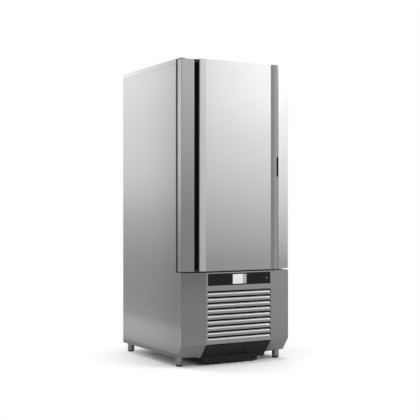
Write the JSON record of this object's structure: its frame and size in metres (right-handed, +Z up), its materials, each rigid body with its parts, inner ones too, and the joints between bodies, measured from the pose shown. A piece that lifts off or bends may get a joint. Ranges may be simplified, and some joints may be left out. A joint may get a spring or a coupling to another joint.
{
  "type": "blast chiller",
  "caption": "Upright stainless blast chiller: insulated tray chamber, left-hung door with full-height pull lip, louvred service panel, drip tray and adjustable feet.",
  "frame": {"origin": "on the floor, under the middle of the outer box", "axes": "+Z up, +Y from the front towards the back, +X to the right as seen from the front"},
  "size_m": [0.814, 0.94, 1.97],
  "materials": {
    "stainless_steel": "satin brushed",
    "inner_steel": "satin",
    "black_plastic": "matte",
    "black_glass": "glossy, opaque backing",
    "insulation_foam": "porous",
    "gasket_rubber": "matte",
    "black_paint": "satin",
    "copper_pipe": "bright drawn",
    "aluminium_fins": "satin",
    "grey_plastic": "matte",
    "circuit_board": "matte",
    "lit_plastic": "clear, lit from behind"
  },
  "bodies": {
    "cabinet": {"left_side_panel": "stainless_steel", "right_side_panel": "stainless_steel", "back_panel": "stainless_steel", "top_cover": "stainless_steel", "ledge_plate": "stainless_steel", "front_facet_left": "stainless_steel", "front_facet_right": "stainless_steel", "front_sill": "stainless_steel", "base_plate": "stainless_steel", "leg_front_left": "stainless_steel", "leg_front_right": "stainless_steel", "leg_back_left": "stainless_steel", "leg_back_right": "stainless_steel", "door_frame": "inner_steel", "chamber_liner": "inner_steel", "cowl_left": "inner_steel", "cowl_right": "inner_steel", "tray_rack_left": "inner_steel", "tray_rack_right": "inner_steel", "cable_gland": "black_plastic", "cabinet_insulation": "insulation_foam", "condenser_shroud": "black_paint", "condenser_fan_motor": "black_paint", "compressor": "black_paint", "liquid_receiver": "black_paint", "upper_hinge": "black_paint", "lower_hinge": "black_paint", "discharge_pipe": "copper_pipe", "condensate_pipe": "copper_pipe", "liquid_pipe": "copper_pipe", "suction_pipe": "copper_pipe", "condenser_coil": "aluminium_fins", "evaporator_coil": "aluminium_fins", "electrical_box": "grey_plastic", "drain_pipe": "grey_plastic"},
    "door": {"door_skin_hinge_side": "stainless_steel", "door_groove_profile": "black_plastic", "door_main_skin": "stainless_steel", "grip_insert": "black_plastic", "door_skin_handle_side": "stainless_steel", "door_foam_core": "insulation_foam", "door_liner": "inner_steel", "door_gasket": "gasket_rubber"},
    "service_door": {"service_panel": "stainless_steel", "control_glass": "black_glass", "display_screen": "lit_plastic", "status_light": "lit_plastic", "control_board": "circuit_board"},
    "tray": {"drip_tray": "black_plastic"},
    "fan_carrier": {"fan_panel": "inner_steel", "evaporator_fan_motor_upper": "black_paint", "evaporator_fan_motor_lower": "black_paint"},
    "upper_rotor": {"evaporator_fan_upper": "black_plastic"},
    "lower_rotor": {"evaporator_fan_lower": "black_plastic"},
    "condenser_rotor": {"condenser_fan": "aluminium_fins"},
    "foot_fl": {"foot_front_left": "black_plastic"},
    "foot_fr": {"foot_front_right": "black_plastic"},
    "foot_bl": {"foot_back_left": "black_plastic"},
    "foot_br": {"foot_back_right": "black_plastic"}
  },
  "joints": [
    {"name": "door_hinge", "type": "hinge", "parent": "cabinet", "child": "door", "pos_m": [-0.387, -0.391, 1.29], "axis": [0, 0, -1], "range_deg": [0, 110], "stiffness_Nm_per_rad": 5, "springref_deg": -20.05},
    {"name": "service_panel_hinge", "type": "hinge", "parent": "cabinet", "child": "service_door", "pos_m": [-0.24275, -0.4515, 0.37], "axis": [0, 0, -1], "range_deg": [0, 100]},
    {"name": "drip_tray_slide", "type": "slide", "parent": "cabinet", "child": "tray", "axis": [0, -1, 0], "range_m": [0, 0.3]},
    {"name": "fan_panel_hinge", "type": "hinge", "parent": "cabinet", "child": "fan_carrier", "pos_m": [-0.221, 0.174, 1.28575], "axis": [0, 0, -1], "range_deg": [0, 90]},
    {"name": "evaporator_fan_upper_spin", "type": "hinge", "parent": "fan_carrier", "child": "upper_rotor", "pos_m": [0, 0.19, 1.56575], "axis": [0, 1, 0], "continuous": true},
    {"name": "evaporator_fan_lower_spin", "type": "hinge", "parent": "fan_carrier", "child": "lower_rotor", "pos_m": [0, 0.19, 1.00575], "axis": [0, 1, 0], "continuous": true},
    {"name": "condenser_fan_spin", "type": "hinge", "parent": "cabinet", "child": "condenser_rotor", "pos_m": [0, -0.2662, 0.2623], "axis": [0, 1, 0], "continuous": true},
    {"name": "foot_fl_thread", "type": "slide", "parent": "cabinet", "child": "foot_fl", "axis": [0, 0, -1], "range_m": [0, 0.03]},
    {"name": "foot_fr_thread", "type": "slide", "parent": "cabinet", "child": "foot_fr", "axis": [0, 0, -1], "range_m": [0, 0.03]},
    {"name": "foot_bl_thread", "type": "slide", "parent": "cabinet", "child": "foot_bl", "axis": [0, 0, -1], "range_m": [0, 0.03]},
    {"name": "foot_br_thread", "type": "slide", "parent": "cabinet", "child": "foot_br", "axis": [0, 0, -1], "range_m": [0, 0.03]}
  ]
}
